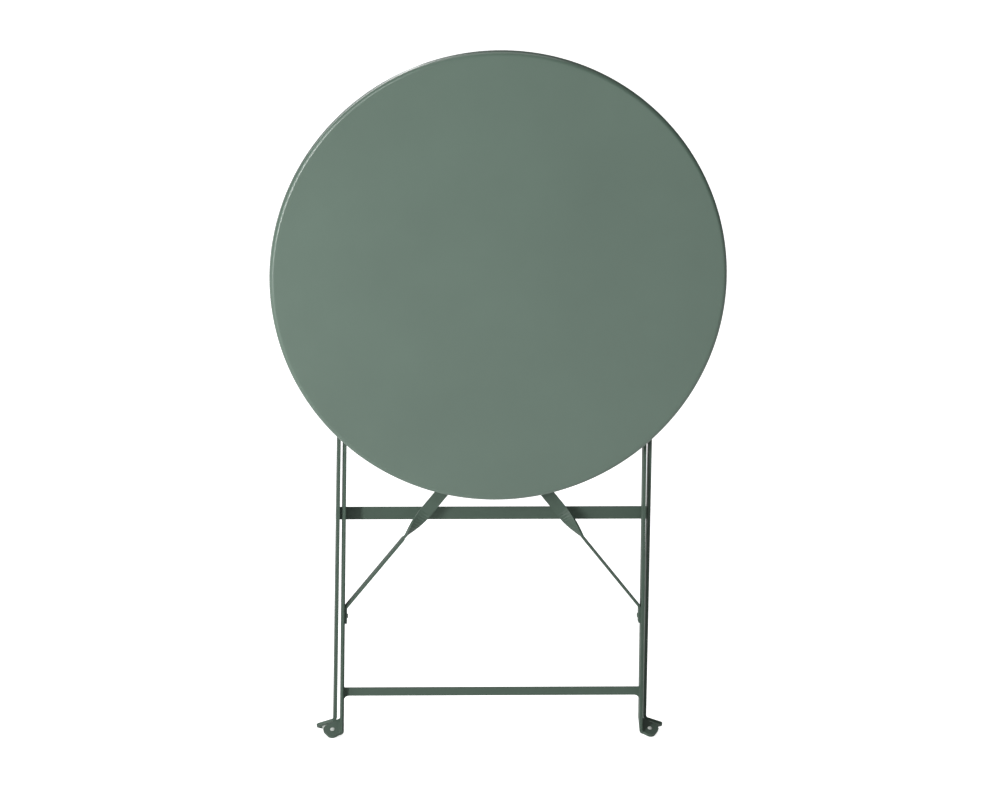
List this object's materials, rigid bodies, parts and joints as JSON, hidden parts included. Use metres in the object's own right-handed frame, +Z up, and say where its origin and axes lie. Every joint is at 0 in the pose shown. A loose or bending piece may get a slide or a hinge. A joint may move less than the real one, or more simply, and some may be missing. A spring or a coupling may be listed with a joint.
{
  "type": "folding bistro table",
  "caption": "Round folding bistro table of painted steel, stored upright: a sheet top on edge in front of two crossed flat-bar frames with bent feet, a cross bar, braces and a low bar.",
  "frame": {"origin": "middle of the bounding box, on the floor, with the table folded and upright", "axes": "+Z up; the top's face looks towards -Y; X runs across the frames along the scissor pivot"},
  "size_m": [0.5999, 0.0614, 0.9232],
  "materials": {
    "top_paint": "satin sage green powder coat",
    "frame_paint": "satin sage green powder coat",
    "zinc": "zinc-plated steel",
    "nylon": "black nylon",
    "glide": "light grey plastic"
  },
  "bodies": {
    "pivot_rod": {"pivot_rod": "frame_paint", "pivot_washers": "zinc", "pivot_heads": "frame_paint"},
    "outer_frame": {"outer_leg_left": "frame_paint", "outer_leg_right": "frame_paint", "outer_cross_bar": "frame_paint", "outer_top_pins": "zinc", "outer_glides": "glide"},
    "inner_frame": {"inner_leg_left": "frame_paint", "inner_leg_right": "frame_paint", "inner_lower_bar": "frame_paint", "inner_top_bar": "frame_paint", "brace_left": "frame_paint", "brace_right": "frame_paint", "brace_rivets": "frame_paint", "inner_glides": "glide"},
    "sliders": {"slider_left": "nylon", "slider_right": "nylon"},
    "round_top": {"tabletop": "top_paint", "guide_left": "zinc", "guide_right": "zinc", "guide_rivets": "zinc", "saddle_left": "zinc", "saddle_right": "zinc", "saddle_rivets": "zinc", "latch_bracket": "zinc", "latch_pin": "zinc"},
    "latch": {"latch": "frame_paint"}
  },
  "joints": [
    {"name": "outer_swing", "type": "hinge", "parent": "pivot_rod", "child": "outer_frame", "pos_m": [0, 0.00265, 0.46], "axis": [1, 0, 0], "range_deg": [0, 28.1]},
    {"name": "inner_swing", "type": "hinge", "parent": "pivot_rod", "child": "inner_frame", "pos_m": [0, 0.00265, 0.46], "axis": [1, 0, 0], "range_deg": [-28.1, 0]},
    {"name": "slider_tilt", "type": "hinge", "parent": "outer_frame", "child": "sliders", "pos_m": [0, -0.00819, 0.78682], "axis": [1, 0, 0], "range_deg": [-118.1, 0]},
    {"name": "top_slide", "type": "slide", "parent": "sliders", "child": "round_top", "axis": [0, 0, 1], "range_m": [0, 0.327]},
    {"name": "latch_swing", "type": "hinge", "parent": "round_top", "child": "latch", "pos_m": [0, -0.02019, 0.80282], "axis": [1, 0, 0], "range_deg": [-110, 0]}
  ],
  "couplings": [
    {"joint": "inner_swing", "follows": "outer_swing", "ratio": -1},
    {"joint": "slider_tilt", "follows": "outer_swing", "ratio": -4.2028},
    {"joint": "top_slide", "follows": "outer_swing", "m_per_rad": 0.66675}
  ]
}
